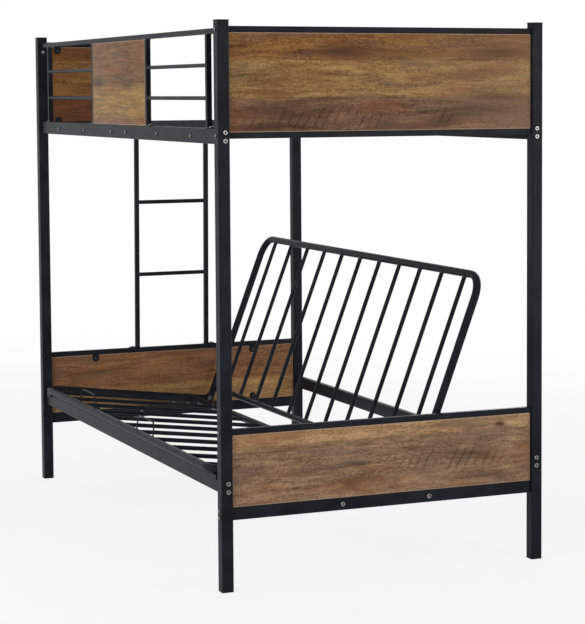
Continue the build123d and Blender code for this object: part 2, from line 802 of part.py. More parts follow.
with BuildPart() as deck_rods:
    deck_rod_half = rail_back_y - deck_rod_end_gap
    with BuildSketch(facing(north, 0, -deck_rod_half, deck_strip_high + deck_rod_radius)):
        with Locations(*[(rod_x, 0) for rod_x in deck_rod_xs]):
            Circle(deck_rod_radius)
            Circle(deck_rod_radius - deck_rod_wall, mode=Mode.SUBTRACT)
    extrude(amount=2 * deck_rod_half)
save(deck_rods, "deck_rods")


# Seat

seat_tube_end = seat_depth - seat_tube_end_gap
seat_rear_reach = seat_depth - seat_rear_tube_gap
seat_rear = seat_front + seat_back_dir * seat_rear_reach
futon_bore_radius = futon_tube_radius - futon_tube_wall
futon_sides_x = (-futon_half_width, futon_half_width)
bracket_bolt_reaches = [seat_depth - gap for gap in bracket_bolt_gaps]


def cross_plane(origin, direction):
    """A plane square to a direction, with its x axis along the bed."""
    return Plane(origin=origin, x_dir=east, z_dir=direction)


with BuildPart() as seat_frame:
    with BuildLine(seat_plane) as seat_path:
        FilletPolyline(
            (-futon_half_width, seat_tube_end),
            (-futon_half_width, 0),
            (futon_half_width, 0),
            (futon_half_width, seat_tube_end),
            radius=seat_corner_radius,
        )
    with BuildSketch(Plane(origin=seat_path.line @ 0, z_dir=seat_path.line % 0)):
        Circle(futon_tube_radius)
        Circle(futon_bore_radius, mode=Mode.SUBTRACT)
    sweep()
    with BuildSketch(seat_plane):
        with Locations(*[(x, reach) for x in futon_sides_x for reach in bracket_bolt_reaches]):
            Circle(screw_radius + bolt_clearance)
    extrude(amount=futon_tube_radius + cut_overrun, both=True, mode=Mode.SUBTRACT)
save(seat_frame, "seat_frame")

with BuildPart() as seat_rear_tube:
    with BuildSketch(facing(east, -futon_half_width, seat_rear.Y, seat_rear.Z)):
        Circle(futon_tube_radius)
        Circle(futon_bore_radius, mode=Mode.SUBTRACT)
    extrude(amount=2 * futon_half_width)
    with BuildSketch(cross_plane(seat_rear, seat_back_dir)):
        with Locations(*[(x, 0) for x in futon_sides_x]):
            Circle(futon_tube_radius)
    extrude(amount=futon_tube_radius + cut_overrun, both=True, mode=Mode.SUBTRACT)
save(seat_rear_tube, "seat_rear_tube")

with BuildPart() as seat_rods:
    with BuildSketch(cross_plane(seat_front, seat_back_dir)):
        with Locations(*[(rod_x, 0) for rod_x in futon_rod_xs]):
            Circle(futon_rod_radius)
            Circle(futon_rod_radius - futon_rod_wall, mode=Mode.SUBTRACT)
    extrude(amount=seat_rear_reach)
    for cross_tube in (seat_front, seat_rear):
        with BuildSketch(facing(east, 0, cross_tube.Y, cross_tube.Z)):
            Circle(futon_tube_radius)
        extrude(amount=futon_half_width, both=True, mode=Mode.SUBTRACT)
save(seat_rods, "seat_rods")

with BuildPart() as seat_tube_plugs:
    with BuildSketch(cross_plane(seat_front + seat_back_dir * seat_tube_end, seat_back_dir)):
        with Locations(*[(x, 0) for x in futon_sides_x]):
            Circle(futon_tube_radius)
    extrude(amount=tube_plug_thickness)
    with BuildSketch(cross_plane(seat_front + seat_back_dir * seat_tube_end, seat_back_dir)):
        with Locations(*[(x, 0) for x in futon_sides_x]):
            Circle(futon_bore_radius - plug_clearance)
    extrude(amount=-tube_plug_stub)
save(seat_tube_plugs, "seat_tube_plugs")

with BuildPart() as mattress_hoops:
    for hoop_x in hoop_centres_x:
        left = hoop_x - hoop_width / 2
        right = hoop_x + hoop_width / 2
        top = futon_tube_radius + hoop_height
        with BuildLine(Plane(origin=seat_front, x_dir=east, z_dir=-seat_back_dir)) as hoop_path:
            FilletPolyline((left, 0), (left, top), (right, top), (right, 0), radius=hoop_corner)
        with BuildSketch(Plane(origin=hoop_path.line @ 0, z_dir=hoop_path.line % 0)):
            Circle(hoop_wire_radius)
        sweep()
    with BuildSketch(facing(east, 0, seat_front.Y, seat_front.Z)):
        Circle(futon_tube_radius)
    extrude(amount=futon_half_width, both=True, mode=Mode.SUBTRACT)
save(mattress_hoops, "mattress_hoops")


# Hinge brackets under the seat's side tubes, and the pins

flange_top = -futon_tube_radius
flange_low = flange_top - hinge_plate_thickness

with BuildPart() as seat_hinge_brackets:
    web_plane = Plane(
        origin=(bracket_web_x, hinge_y, hinge_z), x_dir=seat_back_dir, z_dir=east
    )
    with BuildSketch(web_plane):
        with Locations((-bracket_reach / 2, (flange_low + bracket_web_rise) / 2)):
            Rectangle(bracket_reach, bracket_web_rise - flange_low)
        Circle(hinge_boss_radius)
        Circle(hinge_pin_radius + pin_clearance, mode=Mode.SUBTRACT)
    extrude(amount=hinge_plate_thickness)
    with BuildSketch(web_plane):
        with Locations(
            (-(bracket_reach + bracket_flange_end_gap) / 2, (flange_low + flange_top) / 2)
        ):
            Rectangle(bracket_reach - bracket_flange_end_gap, hinge_plate_thickness)
    extrude(amount=-bracket_flange_width)
    with BuildSketch(seat_plane):
        with Locations(*[(futon_half_width, reach) for reach in bracket_bolt_reaches]):
            Circle(screw_radius + bolt_clearance)
    extrude(amount=flange_low - cut_overrun, mode=Mode.SUBTRACT)
    mirror(about=Plane.YZ)
save(seat_hinge_brackets, "seat_hinge_brackets")

with BuildPart() as hinge_pins:
    pin_inner_x = futon_outer_x - running_gap
    with BuildSketch(facing(east, pin_inner_x, hinge_y, hinge_z)):
        Circle(hinge_pin_radius)
    extrude(amount=bracket_web_outer_x - pin_inner_x)
    with BuildSketch(facing(east, pin_inner_x, hinge_y, hinge_z)):
        Circle(hinge_pin_head_radius)
    extrude(amount=-hinge_pin_head)
    with BuildSketch(facing(east, bracket_web_outer_x, hinge_y, hinge_z)):
        Circle(hinge_pin_head_radius)
    extrude(amount=hinge_pin_head)
    mirror(about=Plane.YZ)
save(hinge_pins, "hinge_pins")

with BuildPart() as seat_glides:
    half_rail = long_rail_depth / 2
    front_inside = -half_rail - running_gap
    lip_swing = (glide_lip_drop + half_rail * sin(seat_tilt)) * tan(seat_tilt)
    rear_inside = half_rail + lip_swing + running_gap
    saddle_top = seat_over_rail - futon_tube_radius - running_gap
    saddle_x = futon_half_width + glide_outer_reach - glide_width
    saddle_origin = glide_point + Vector(saddle_x, 0, 0)
    with BuildSketch(Plane(origin=saddle_origin, x_dir=seat_back_dir, z_dir=east)):
        with BuildLine():
            Polyline(
                (front_inside - glide_lip, saddle_top),
                (front_inside - glide_lip, -glide_lip_drop),
                (front_inside, -glide_lip_drop),
                (front_inside, running_gap),
                (0, running_gap),
                (rear_inside, running_gap + rear_inside * tan(seat_tilt)),
                (rear_inside, -glide_lip_drop),
                (rear_inside + glide_lip, -glide_lip_drop),
                (rear_inside + glide_lip, saddle_top),
                close=True,
            )
        make_face()
    extrude(amount=glide_width)
    mirror(about=Plane.YZ)
save(seat_glides, "seat_glides")

with BuildPart() as futon_support_brackets:
    leg_x = end_rail_inner_x - support_thickness / 2
    leg_height = support_shelf_high - lower_panel_low
    shelf_x = end_rail_inner_x - support_shelf_width / 2
    with BuildSketch(facing(north, 0, 0, 0)):
        with Locations((-leg_x, lower_panel_low + leg_height / 2)):
            Rectangle(support_thickness, leg_height)
        with Locations((-shelf_x, support_shelf_high - support_thickness / 2)):
            Rectangle(support_shelf_width, support_thickness)
    extrude(amount=support_half_length, both=True)
    with BuildSketch(facing(east, leg_x, 0, support_bolt_z)):
        with Locations((-support_bolt_y, 0), (support_bolt_y, 0)):
            Circle(frame_bolt_radius + bolt_clearance)
    extrude(amount=support_thickness / 2 + cut_overrun, both=True, mode=Mode.SUBTRACT)
    mirror(about=Plane.YZ)
save(futon_support_brackets, "futon_support_brackets")


# Backrest


def back_point(reach):
    """A point on the back's middle line, this far up from the hinge."""
    return back_foot + back_up_dir * reach


with BuildPart() as backrest_frame:
    with BuildLine(back_plane) as back_path:
        FilletPolyline(
            (-futon_half_width, back_tube_start),
            (-futon_half_width, back_height),
            (futon_half_width, back_height),
            (futon_half_width, back_tube_start),
            radius=back_corner_radius,
        )
    with BuildSketch(Plane(origin=back_path.line @ 0, z_dir=back_path.line % 0)):
        Circle(futon_tube_radius)
        Circle(futon_bore_radius, mode=Mode.SUBTRACT)
    sweep()
    for reach in back_plate_bolt_reaches:
        with BuildSketch(facing(east, 0, back_point(reach).Y, back_point(reach).Z)):
            Circle(screw_radius + bolt_clearance)
        extrude(amount=futon_outer_x + cut_overrun, both=True, mode=Mode.SUBTRACT)
save(backrest_frame, "backrest_frame")

with BuildPart() as backrest_bottom_bar:
    bar_point = back_point(back_bar_reach)
    with BuildSketch(facing(east, -futon_half_width, bar_point.Y, bar_point.Z)):
        Circle(back_bar_radius)
        Circle(back_bar_radius - back_bar_wall, mode=Mode.SUBTRACT)
    extrude(amount=2 * futon_half_width)
    with BuildSketch(cross_plane(bar_point, back_up_dir)):
        with Locations(*[(x, 0) for x in futon_sides_x]):
            Circle(futon_tube_radius)
    extrude(amount=back_bar_radius + cut_overrun, both=True, mode=Mode.SUBTRACT)
save(backrest_bottom_bar, "backrest_bottom_bar")

with BuildPart() as backrest_rods:
    with BuildSketch(cross_plane(bar_point, back_up_dir)):
        with Locations(*[(rod_x, 0) for rod_x in futon_rod_xs]):
            Circle(futon_rod_radius)
            Circle(futon_rod_radius - futon_rod_wall, mode=Mode.SUBTRACT)
    extrude(amount=back_height - back_bar_reach)
    back_top = back_point(back_height)
    for cross_tube, cross_radius in ((bar_point, back_bar_radius), (back_top, futon_tube_radius)):
        with BuildSketch(facing(east, 0, cross_tube.Y, cross_tube.Z)):
            Circle(cross_radius)
        extrude(amount=futon_half_width, both=True, mode=Mode.SUBTRACT)
save(backrest_rods, "backrest_rods")

with BuildPart() as backrest_tube_plugs:
    with BuildSketch(cross_plane(back_point(back_tube_start), -back_up_dir)):
        with Locations(*[(x, 0) for x in futon_sides_x]):
            Circle(futon_tube_radius)
    extrude(amount=tube_plug_thickness)
    with BuildSketch(cross_plane(back_point(back_tube_start), back_up_dir)):
        with Locations(*[(x, 0) for x in futon_sides_x]):
            Circle(futon_bore_radius - plug_clearance)
    extrude(amount=tube_plug_stub)
save(backrest_tube_plugs, "backrest_tube_plugs")

with BuildPart() as backrest_hinge_plates:
    plate_end = back_plate_reach - back_plate_width / 2
    with BuildSketch(
        Plane(origin=(futon_outer_x, hinge_y, hinge_z), x_dir=back_up_dir, z_dir=east)
    ):
        Circle(back_plate_boss_radius)
        with Locations((plate_end / 2, -back_offset)):
            Rectangle(plate_end, back_plate_width)
        with Locations((plate_end, -back_offset)):
            Circle(back_plate_width / 2)
        Circle(hinge_pin_radius + pin_clearance, mode=Mode.SUBTRACT)
        with Locations(*[(reach, -back_offset) for reach in back_plate_bolt_reaches]):
            Circle(screw_radius + bolt_clearance, mode=Mode.SUBTRACT)
    extrude(amount=hinge_plate_thickness)
    mirror(about=Plane.YZ)
save(backrest_hinge_plates, "backrest_hinge_plates")


# Fasteners, each kind one node


def make_fasteners(first, first_planes, second=None, second_planes=()):
    """Copies of one fastener, and of a second such as its nut, at their planes."""
    with BuildPart() as fasteners:
        with Locations(*first_planes):
            add(first)
        if second_planes:
            with Locations(*second_planes):
                add(second)
    return fasteners


post_outer_x = frame_length / 2
post_outer_y = frame_width / 2
corners = list(post_names)

frame_bolt = make_bolt(
    frame_bolt_radius,
    post_side + insert_length - bolt_stub,
    frame_bolt_head_radius,
    frame_bolt_head,
    frame_bolt_socket,
)
frame_bolt_planes = [
    facing((side_x, 0, 0), side_x * post_outer_x, side_y * rail_y, height)
    for side_x, side_y in corners
    for height in frame_bolt_heights
]
save(make_fasteners(frame_bolt, frame_bolt_planes), "frame_bolts")

post_screw = make_bolt(
    screw_radius, post_side + insert_length - bolt_stub, screw_head_radius, screw_head, screw_socket
)
post_screw_planes = [
    facing((0, side_y, 0), side_x * post_x, side_y * post_outer_y, height)
    for side_x, side_y in corners
    for height in post_screw_heights
]
save(make_fasteners(post_screw, post_screw_planes), "post_screws")

small_nut = make_nut(screw_radius, nut_across_flats, nut_height)
large_nut = make_nut(frame_bolt_radius, frame_nut_across_flats, frame_nut_height)

guard_bolt = make_bolt(
    screw_radius,
    guard_plate_thickness + post_wall + nut_height + bolt_stub,
    screw_head_radius,
    screw_head,
    screw_socket,
)
guard_head_x = inner_x - guard_plate_thickness
guard_bolt_planes = [
    facing((-side_x, 0, 0), side_x * guard_head_x, side_y * guard_y, guard_bolt_z)
    for side_x, side_y in corners
]
guard_nut_x = inner_x + post_wall
guard_nut_planes = [
    facing((-side_x, 0, 0), side_x * guard_nut_x, side_y * guard_y, guard_bolt_z)
    for side_x, side_y in corners
]
save(make_fasteners(guard_bolt, guard_bolt_planes, small_nut, guard_nut_planes), "guard_bolts")

foot_screw = make_bolt(
    screw_radius, insert_length, screw_head_radius, screw_head, screw_socket
)
guard_foot_high = upper_rail_high + foot_plate_thickness
foot_screw_planes = [
    Plane(origin=(screw_x, side_y * guard_y, guard_foot_high))
    for screw_x in guard_foot_screw_xs
    for side_y in sides_y
]
for hole_y in ladder_foot_holes_y:
    foot_screw_planes.append(Plane(origin=(-post_x, hole_y, ladder_foot_z)))

ladder_bolt = make_bolt(
    screw_radius,
    ladder_tube + end_rail_side / 2,
    screw_head_radius,
    screw_head,
    screw_socket,
)
ladder_face_x = ladder_x(upper_bottom_screw + screw_head_radius) + ladder_tube / 2
ladder_bolt_planes = [
    facing(east, ladder_face_x, y, upper_bottom_screw) for y in ladder_sides_y
]
save(
    make_fasteners(foot_screw, foot_screw_planes, ladder_bolt, ladder_bolt_planes),
    "foot_and_ladder_screws",
)

deck_bolt = make_bolt(
    screw_radius,
    long_rail_depth + deck_strip_thickness + nut_height + bolt_stub,
    screw_head_radius,
    screw_head,
    screw_socket,
)
deck_bolt_planes = [
    facing((0, side_y, 0), bolt_x, side_y * rail_front_y, deck_bolt_height)
    for bolt_x in deck_bolt_xs
    for side_y in sides_y
]
deck_nut_y = rail_back_y - deck_strip_thickness
deck_nut_planes = [
    facing((0, side_y, 0), bolt_x, side_y * deck_nut_y, deck_bolt_height)
    for bolt_x in deck_bolt_xs
    for side_y in sides_y
]
save(make_fasteners(deck_bolt, deck_bolt_planes, small_nut, deck_nut_planes), "deck_bolts")

support_bolt = make_bolt(
    frame_bolt_radius,
    end_rail_side + support_thickness + frame_nut_height + bolt_stub,
    frame_bolt_head_radius,
    frame_bolt_head,
    frame_bolt_socket,
)
support_spots = [
    (side_x, side_y * support_bolt_y) for side_x in (-1, 1) for side_y in (-1, 1)
]
support_nut_x = end_rail_inner_x - support_thickness
support_bolt_planes = [
    facing((side_x, 0, 0), side_x * end_rail_outer_x, y, support_bolt_z)
    for side_x, y in support_spots
]
support_nut_planes = [
    facing((side_x, 0, 0), side_x * support_nut_x, y, support_bolt_z)
    for side_x, y in support_spots
]
save(
    make_fasteners(support_bolt, support_bolt_planes, large_nut, support_nut_planes),
    "support_bracket_bolts",
)

seat_bracket_bolt = make_bolt(
    screw_radius,
    2 * futon_tube_radius + hinge_plate_thickness + nut_height + bolt_stub,
    screw_head_radius,
    screw_head,
    screw_socket,
)
seat_bolt_points = [
    seat_front + seat_back_dir * reach + Vector(x, 0, 0)
    for x in futon_sides_x
    for reach in bracket_bolt_reaches
]
seat_bolt_planes = [
    cross_plane(point + seat_up_dir * futon_tube_radius, seat_up_dir) for point in seat_bolt_points
]
seat_nut_planes = [
    cross_plane(point + seat_up_dir * flange_low, seat_up_dir) for point in seat_bolt_points
]
save(
    make_fasteners(seat_bracket_bolt, seat_bolt_planes, small_nut, seat_nut_planes),
    "seat_bracket_bolts",
)

back_plate_bolt = make_bolt(
    screw_radius,
    hinge_plate_thickness + 2 * futon_tube_radius + nut_height + bolt_stub,
    screw_head_radius,
    screw_head,
    screw_socket,
)
back_bolt_spots = [
    (side_x, back_point(reach)) for side_x in (-1, 1) for reach in back_plate_bolt_reaches
]
back_bolt_x = futon_outer_x + hinge_plate_thickness
back_nut_x = futon_half_width - futon_tube_radius
back_bolt_planes = [
    facing((side_x, 0, 0), side_x * back_bolt_x, point.Y, point.Z)
    for side_x, point in back_bolt_spots
]
back_nut_planes = [
    facing((side_x, 0, 0), side_x * back_nut_x, point.Y, point.Z)
    for side_x, point in back_bolt_spots
]
save(
    make_fasteners(back_plate_bolt, back_bolt_planes, small_nut, back_nut_planes),
    "backrest_plate_bolts",
)
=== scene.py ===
import json
from math import atan2, cos, pi, radians, sin, sqrt

import bmesh
import bpy
from mathutils import Matrix, Vector


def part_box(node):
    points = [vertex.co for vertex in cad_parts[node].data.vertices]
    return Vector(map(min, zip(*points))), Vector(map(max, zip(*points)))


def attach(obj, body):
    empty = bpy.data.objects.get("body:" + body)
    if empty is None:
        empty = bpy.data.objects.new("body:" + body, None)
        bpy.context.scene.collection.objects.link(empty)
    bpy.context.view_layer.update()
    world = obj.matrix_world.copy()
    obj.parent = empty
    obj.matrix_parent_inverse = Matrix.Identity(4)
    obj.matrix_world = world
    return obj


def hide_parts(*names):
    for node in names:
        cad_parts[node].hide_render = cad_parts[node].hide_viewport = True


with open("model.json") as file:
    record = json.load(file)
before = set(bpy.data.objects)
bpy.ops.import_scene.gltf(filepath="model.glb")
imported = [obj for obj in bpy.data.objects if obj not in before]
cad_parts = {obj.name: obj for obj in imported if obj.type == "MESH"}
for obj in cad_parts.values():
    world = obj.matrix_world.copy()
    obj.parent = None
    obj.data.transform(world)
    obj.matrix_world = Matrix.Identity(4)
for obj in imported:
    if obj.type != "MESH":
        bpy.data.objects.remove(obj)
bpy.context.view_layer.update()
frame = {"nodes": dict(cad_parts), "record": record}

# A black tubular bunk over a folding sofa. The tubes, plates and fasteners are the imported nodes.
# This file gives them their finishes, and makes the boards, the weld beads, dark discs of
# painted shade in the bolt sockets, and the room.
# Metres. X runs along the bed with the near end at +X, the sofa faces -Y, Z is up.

mm = 0.001
x_axis, y_axis, z_axis = Vector((1, 0, 0)), Vector((0, 1, 0)), Vector((0, 0, 1))


# Shader tools


def linear(hex_code):
    """An sRGB hex colour as the linear colour that a shader takes."""
    channels = [int(hex_code[i:i + 2], 16) / 255 for i in (1, 3, 5)]
    return tuple(c / 12.92 if c <= 0.04045 else ((c + 0.055) / 1.055) ** 2.4 for c in channels) + (1.0,)


def add_node(tree, kind, inputs=None, stops=(), **settings):
    """Adds one node with its settings. Inputs are plain values, or sockets to link from."""
    made = tree.nodes.new("ShaderNode" + kind)
    for name, value in settings.items():
        setattr(made, name, value)
    for key, value in (inputs or {}).items():
        if isinstance(value, bpy.types.NodeSocket):
            tree.links.new(value, made.inputs[key])
        else:
            made.inputs[key].default_value = value
    for number, (place, colour) in enumerate(stops):
        elements = made.color_ramp.elements
        stop = elements[number] if number < len(elements) else elements.new(place)
        stop.position = place
        stop.color = colour
    return made


# A Mix node's colour sockets, by number
mix_factor, mix_a, mix_b, mix_result = 0, 6, 7, 2

# Noise runs from zero to one, but nearly all of it lies between these
noise_low, noise_high = 0.3, 0.7


def start_material(name, **shader_values):
    """A new material with its shader, and the object coordinates that its patterns read."""
    material = bpy.data.materials.new(name)
    material.use_nodes = True
    tree = material.node_tree
    shader = tree.nodes["Principled BSDF"]
    for socket, value in shader_values.items():
        shader.inputs[socket.replace("_", " ")].default_value = value
    place = add_node(tree, "TexCoord").outputs["Object"]
    return material, tree, shader, place


# Finishes of the metal and plastic pieces. Gloss rays see the white room, so the black coat and
# the plastics have a low gloss level, at which they stay as dark as in the photograph. The coat
# pools on the weld beads, and shines there.


def powder_coat(name, dark, light, rough_low, rough_high, gloss_level):
    """Black powder coat baked on steel: a fine orange peel in a near-black, softly shining skin."""
    peel_spacing = 4.0 * mm  # really about 2 mm, drawn coarser so that it shows
    peel_depth = 0.05 * mm
    cloud_spacing = 90.0 * mm
    cloud_low, cloud_high = 0.35, 0.65
    material, tree, shader, place = start_material(
        name, Metallic=0.0, IOR=1.5, Specular_IOR_Level=gloss_level
    )
    cloud = add_node(tree, "TexNoise", {"Vector": place, "Scale": 1 / cloud_spacing, "Detail": 2.0})
    peel = add_node(tree, "TexNoise", {"Vector": place, "Scale": 1 / peel_spacing, "Detail": 2.0})
    colour = add_node(
        tree,
        "ValToRGB",
        {"Fac": cloud.outputs[0]},
        stops=((cloud_low, linear(dark)), (cloud_high, linear(light))),
    )
    tree.links.new(colour.outputs["Color"], shader.inputs["Base Color"])
    gloss = add_node(
        tree,
        "MapRange",
        {
            "Value": peel.outputs[0],
            "From Min": noise_low,
            "From Max": noise_high,
            "To Min": rough_low,
            "To Max": rough_high,
        },
    )
    tree.links.new(gloss.outputs["Result"], shader.inputs["Roughness"])
    bump = add_node(
        tree, "Bump", {"Height": peel.outputs[0], "Strength": 0.25, "Distance": peel_depth}
    )
    tree.links.new(bump.outputs["Normal"], shader.inputs["Normal"])
    return material


def moulded_plastic(name, dark, light, roughness, texture_spacing):
    """Injection moulded plastic: even in colour, dulled by a fine spark-eroded texture."""
    texture_depth = 0.06 * mm
    material, tree, shader, place = start_material(
        name, Metallic=0.0, IOR=1.46, Specular_IOR_Level=0.08, Roughness=roughness
    )
    texture = add_node(
        tree, "TexNoise", {"Vector": place, "Scale": 1 / texture_spacing, "Detail": 3.0}
    )
    colour = add_node(
        tree,
        "ValToRGB",
        {"Fac": texture.outputs[0]},
        stops=((noise_low, linear(dark)), (noise_high, linear(light))),
    )
    tree.links.new(colour.outputs["Color"], shader.inputs["Base Color"])
    bump = add_node(
        tree, "Bump", {"Height": texture.outputs[0], "Strength": 0.35, "Distance": texture_depth}
    )
    tree.links.new(bump.outputs["Normal"], shader.inputs["Normal"])
    return material


def plated_steel(name, dark, light, rough_low, rough_high):
    """Turned and plated steel: bright, with the cloudy patches that a barrel-plated bolt has."""
    patch_spacing = 3.0 * mm
    patch_depth = 0.03 * mm
    material, tree, shader, place = start_material(name, Metallic=1.0)
    patch = add_node(tree, "TexNoise", {"Vector": place, "Scale": 1 / patch_spacing, "Detail": 3.0})
    colour = add_node(
        tree,
        "ValToRGB",
        {"Fac": patch.outputs[0]},
        stops=((noise_low, linear(dark)), (noise_high, linear(light))),
    )
    tree.links.new(colour.outputs["Color"], shader.inputs["Base Color"])
    gloss = add_node(
        tree,
        "MapRange",
        {"Value": patch.outputs[0], "To Min": rough_low, "To Max": rough_high},
    )
    tree.links.new(gloss.outputs["Result"], shader.inputs["Roughness"])
    bump = add_node(
        tree, "Bump", {"Height": patch.outputs[0], "Strength": 0.2, "Distance": patch_depth}
    )
    tree.links.new(bump.outputs["Normal"], shader.inputs["Normal"])
    return material


finishes = {
    "powder_coated_steel": powder_coat(
        "satin_black_powder_coat", "#15171c", "#1e2126", 0.30, 0.42, 0.05
    ),
    "black_plastic": moulded_plastic("moulded_black_polyethylene", "#131415", "#1c1d1f", 0.5, 2.0 * mm),
    "nylon": moulded_plastic("moulded_black_nylon", "#17181a", "#212224", 0.42, 2.5 * mm),
    "zinc_bolts": plated_steel("bright_zinc_plated_steel", "#464645", "#989793", 0.24, 0.38),
    "black_screws": plated_steel("black_zinc_plated_steel", "#2c2d2f", "#4a4b4e", 0.3, 0.45),
}
weld_coat = powder_coat("pooled_black_powder_coat_on_welds", "#16181b", "#212327", 0.08, 0.14, 0.9)
# dark steel for the discs of painted shade at the bottom of the bolt sockets
socket_shade_steel = plated_steel("painted_shade_socket_steel", "#121213", "#232324", 0.5, 0.65)


# Printed foil on particle board. The print shows old planks, so each board has bands of its own
# tones. The bands run up from the board's lower edge: (top of band as a share, dark, light).

board_prints = {
    "near_upper_board": (
        (0.34, "#48311f", "#88634a"),
        (0.73, "#68492a", "#a6824f"),
        (1.0, "#563419", "#996b3a"),
    ),
    "near_lower_board": (
        (0.80, "#624937", "#a38263"),
        (1.0, "#80613f", "#bd976d"),
    ),
    "far_upper_front_board": (
        (0.36, "#4f3220", "#784c2f"),
        (0.83, "#624022", "#9c6f3c"),
        (1.0, "#57351b", "#85582c"),
    ),
    "far_upper_back_board": (
        (0.35, "#6a4624", "#98703f"),
        (0.66, "#4c3020", "#70492f"),
        (1.0, "#5f3f24", "#8c6338"),
    ),
    "far_lower_board": (
        (0.4, "#80603d", "#bd935e"),
        (1.0, "#644229", "#9c6f4a"),
    ),
    "front_guard_board": (
        (0.07, "#5f4531", "#9a714a"),
        (0.47, "#69502c", "#a98752"),
        (0.60, "#4a3728", "#886948"),
        (1.0, "#583e28", "#936e4a"),
    ),
    "back_guard_board": (
        (0.32, "#583e28", "#936e4a"),
        (0.44, "#4a3728", "#886948"),
        (1.0, "#69502c", "#a98752"),
    ),
}

# Some boards have a painted sheen: they are paler towards their far end along the grain, by this share
sheen_ends = {"near_upper_board": 0.22, "near_lower_board": 0.06}

# Saw marks are slanted scratches in fields of a board: middle along the grain and up, half sizes
saw_fields = {
    "near_upper_board": ((-0.22, 1.375, 0.24, 0.034), (0.19, 1.378, 0.05, 0.03)),
    "near_lower_board": ((0.205, 0.337, 0.19, 0.033),),
}

# Growth rings show as nested ovals: middle along the grain and up, half length, half height
ring_ovals = {
    "near_upper_board": ((-0.282, 1.480, 0.085, 0.018), (0.172, 1.491, 0.11, 0.026)),
    "back_guard_board": ((-0.08, 1.44, 0.10, 0.024),),
}

# Knots and stains: middle along the grain and up, half length, half height, darkness
stains = {
    "near_upper_board": (
        (-0.156, 1.566, 0.060, 0.013, 0.5),
        (-0.04, 1.572, 0.19, 0.013, 0.45),
        (0.39, 1.573, 0.085, 0.014, 0.6),
        (-0.19, 1.436, 0.16, 0.006, 0.45),
        (0.37, 1.441, 0.10, 0.011, 0.45),
        (0.130, 1.397, 0.012, 0.005, 0.8),
        (0.375, 1.399, 0.09, 0.012, 0.35),
        (0.30, 1.520, 0.09, 0.012, 0.25),
        (0.186, 1.365, 0.055, 0.014, 0.65),
        (0.27, 1.388, 0.07, 0.016, 0.4),
        (-0.37, 1.356, 0.11, 0.016, 0.5),
        (-0.40, 1.352, 0.055, 0.015, 0.6),
        (-0.32, 1.405, 0.14, 0.022, 0.45),
        (0.05, 1.352, 0.09, 0.010, 0.35),
        (-0.41, 1.505, 0.08, 0.008, 0.3),
    ),
    "near_lower_board": (
        (0.387, 0.431, 0.016, 0.010, 0.9),
        (-0.33, 0.413, 0.17, 0.0045, 0.4),
        (-0.065, 0.407, 0.035, 0.004, 0.6),
        (0.29, 0.345, 0.08, 0.020, 0.6),
        (-0.096, 0.348, 0.045, 0.008, 0.55),
        (-0.29, 0.335, 0.05, 0.008, 0.45),
        (-0.29, 0.293, 0.013, 0.004, 0.6),
        (-0.118, 0.280, 0.022, 0.010, 0.45),
        (0.34, 0.286, 0.13, 0.009, 0.4),
        (0.07, 0.373, 0.12, 0.006, 0.3),
    ),
    "far_upper_front_board": ((-0.30, 1.475, 0.12, 0.008, 0.5), (-0.25, 1.60, 0.1, 0.008, 0.4)),
    "far_lower_board": ((0.02, 0.44, 0.12, 0.008, 0.4), (-0.3, 0.40, 0.1, 0.006, 0.4)),
    "front_guard_board": (
        (-0.22, 1.492, 0.06, 0.016, 0.5),
        (0.08, 1.495, 0.09, 0.018, 0.4),
        (0.02, 1.585, 0.16, 0.012, 0.3),
    ),
}

# Noise patterns of the print: size along the grain, size across it, detail
wander_pattern = (420.0 * mm, 120.0 * mm, 2.0)
hue_pattern = (210.0 * mm, 42.0 * mm, 2.0)
cloud_pattern = (130.0 * mm, 34.0 * mm, 3.0)
streak_pattern = (240.0 * mm, 13.0 * mm, 4.0)
grain_pattern = (50.0 * mm, 3.2 * mm, 3.0)
mottle_pattern = (8.0 * mm, 4.0 * mm, 3.0)  # pores are under 1 mm, drawn coarser to show
seam_wave_pattern = (90.0 * mm, 30.0 * mm, 2.0)
saw_break_pattern = (60.0 * mm, 45.0 * mm, 2.0)

# How much each pattern moves a point between its band's dark and light tones
cloud_weight, streak_weight, grain_weight, mottle_weight = 1.3, 1.7, 1.1, 2.4

# Seams and blends between bands, as shares of the board's height
seam_share, blend_share = 0.012, 0.05

# Tones that are printed over the planks, and the pale tones of a painted sheen and of a painted
# highlight along the arris
warm, grey = linear("#7a4a2c"), linear("#5f4c42")
seam_dark, knot_dark, saw_dark = linear("#3a261a"), linear("#38281f"), linear("#33241b")
sheen_pale, arris_highlight_pale = linear("#a88d70"), linear("#b09a86")


def drawn_out(tree, source, long_size, wide_size, detail):
    """A noise pattern that is longer along the grain than across it."""
    scaled = add_node(
        tree,
        "VectorMath",
        {0: source, 1: (1 / long_size, 1 / wide_size, 1 / long_size)},
        operation="MULTIPLY",
    )
    noise = add_node(
        tree,
        "TexNoise",
        {"Vector": scaled.outputs[0], "Scale": 1.0, "Detail": detail, "Roughness": 0.6},
    )
    return noise.outputs[0]


def oval_reach(tree, source, middle_along, middle_up, half_long, half_high):
    """Nothing at an oval's middle, one at its edge, and more outside it."""
    offset = add_node(
        tree, "VectorMath", {0: source, 1: (middle_along, middle_up, 0.0)}, operation="SUBTRACT"
    )
    scaled = add_node(
        tree,
        "VectorMath",
        {0: offset.outputs[0], 1: (1 / half_long, 1 / half_high, 0.0)},
        operation="MULTIPLY",
    )
    return add_node(tree, "VectorMath", {0: scaled.outputs[0]}, operation="LENGTH").outputs["Value"]


def oval(tree, source, place_and_size, softness):
    """One inside an oval, falling to nothing outside it."""
    return add_node(
        tree,
        "MapRange",
        {
            "Value": oval_reach(tree, source, *place_and_size),
            "From Min": 1.0 + softness,
            "From Max": 1.0 - softness,
        },
        interpolation_type="SMOOTHSTEP",
    ).outputs["Result"]


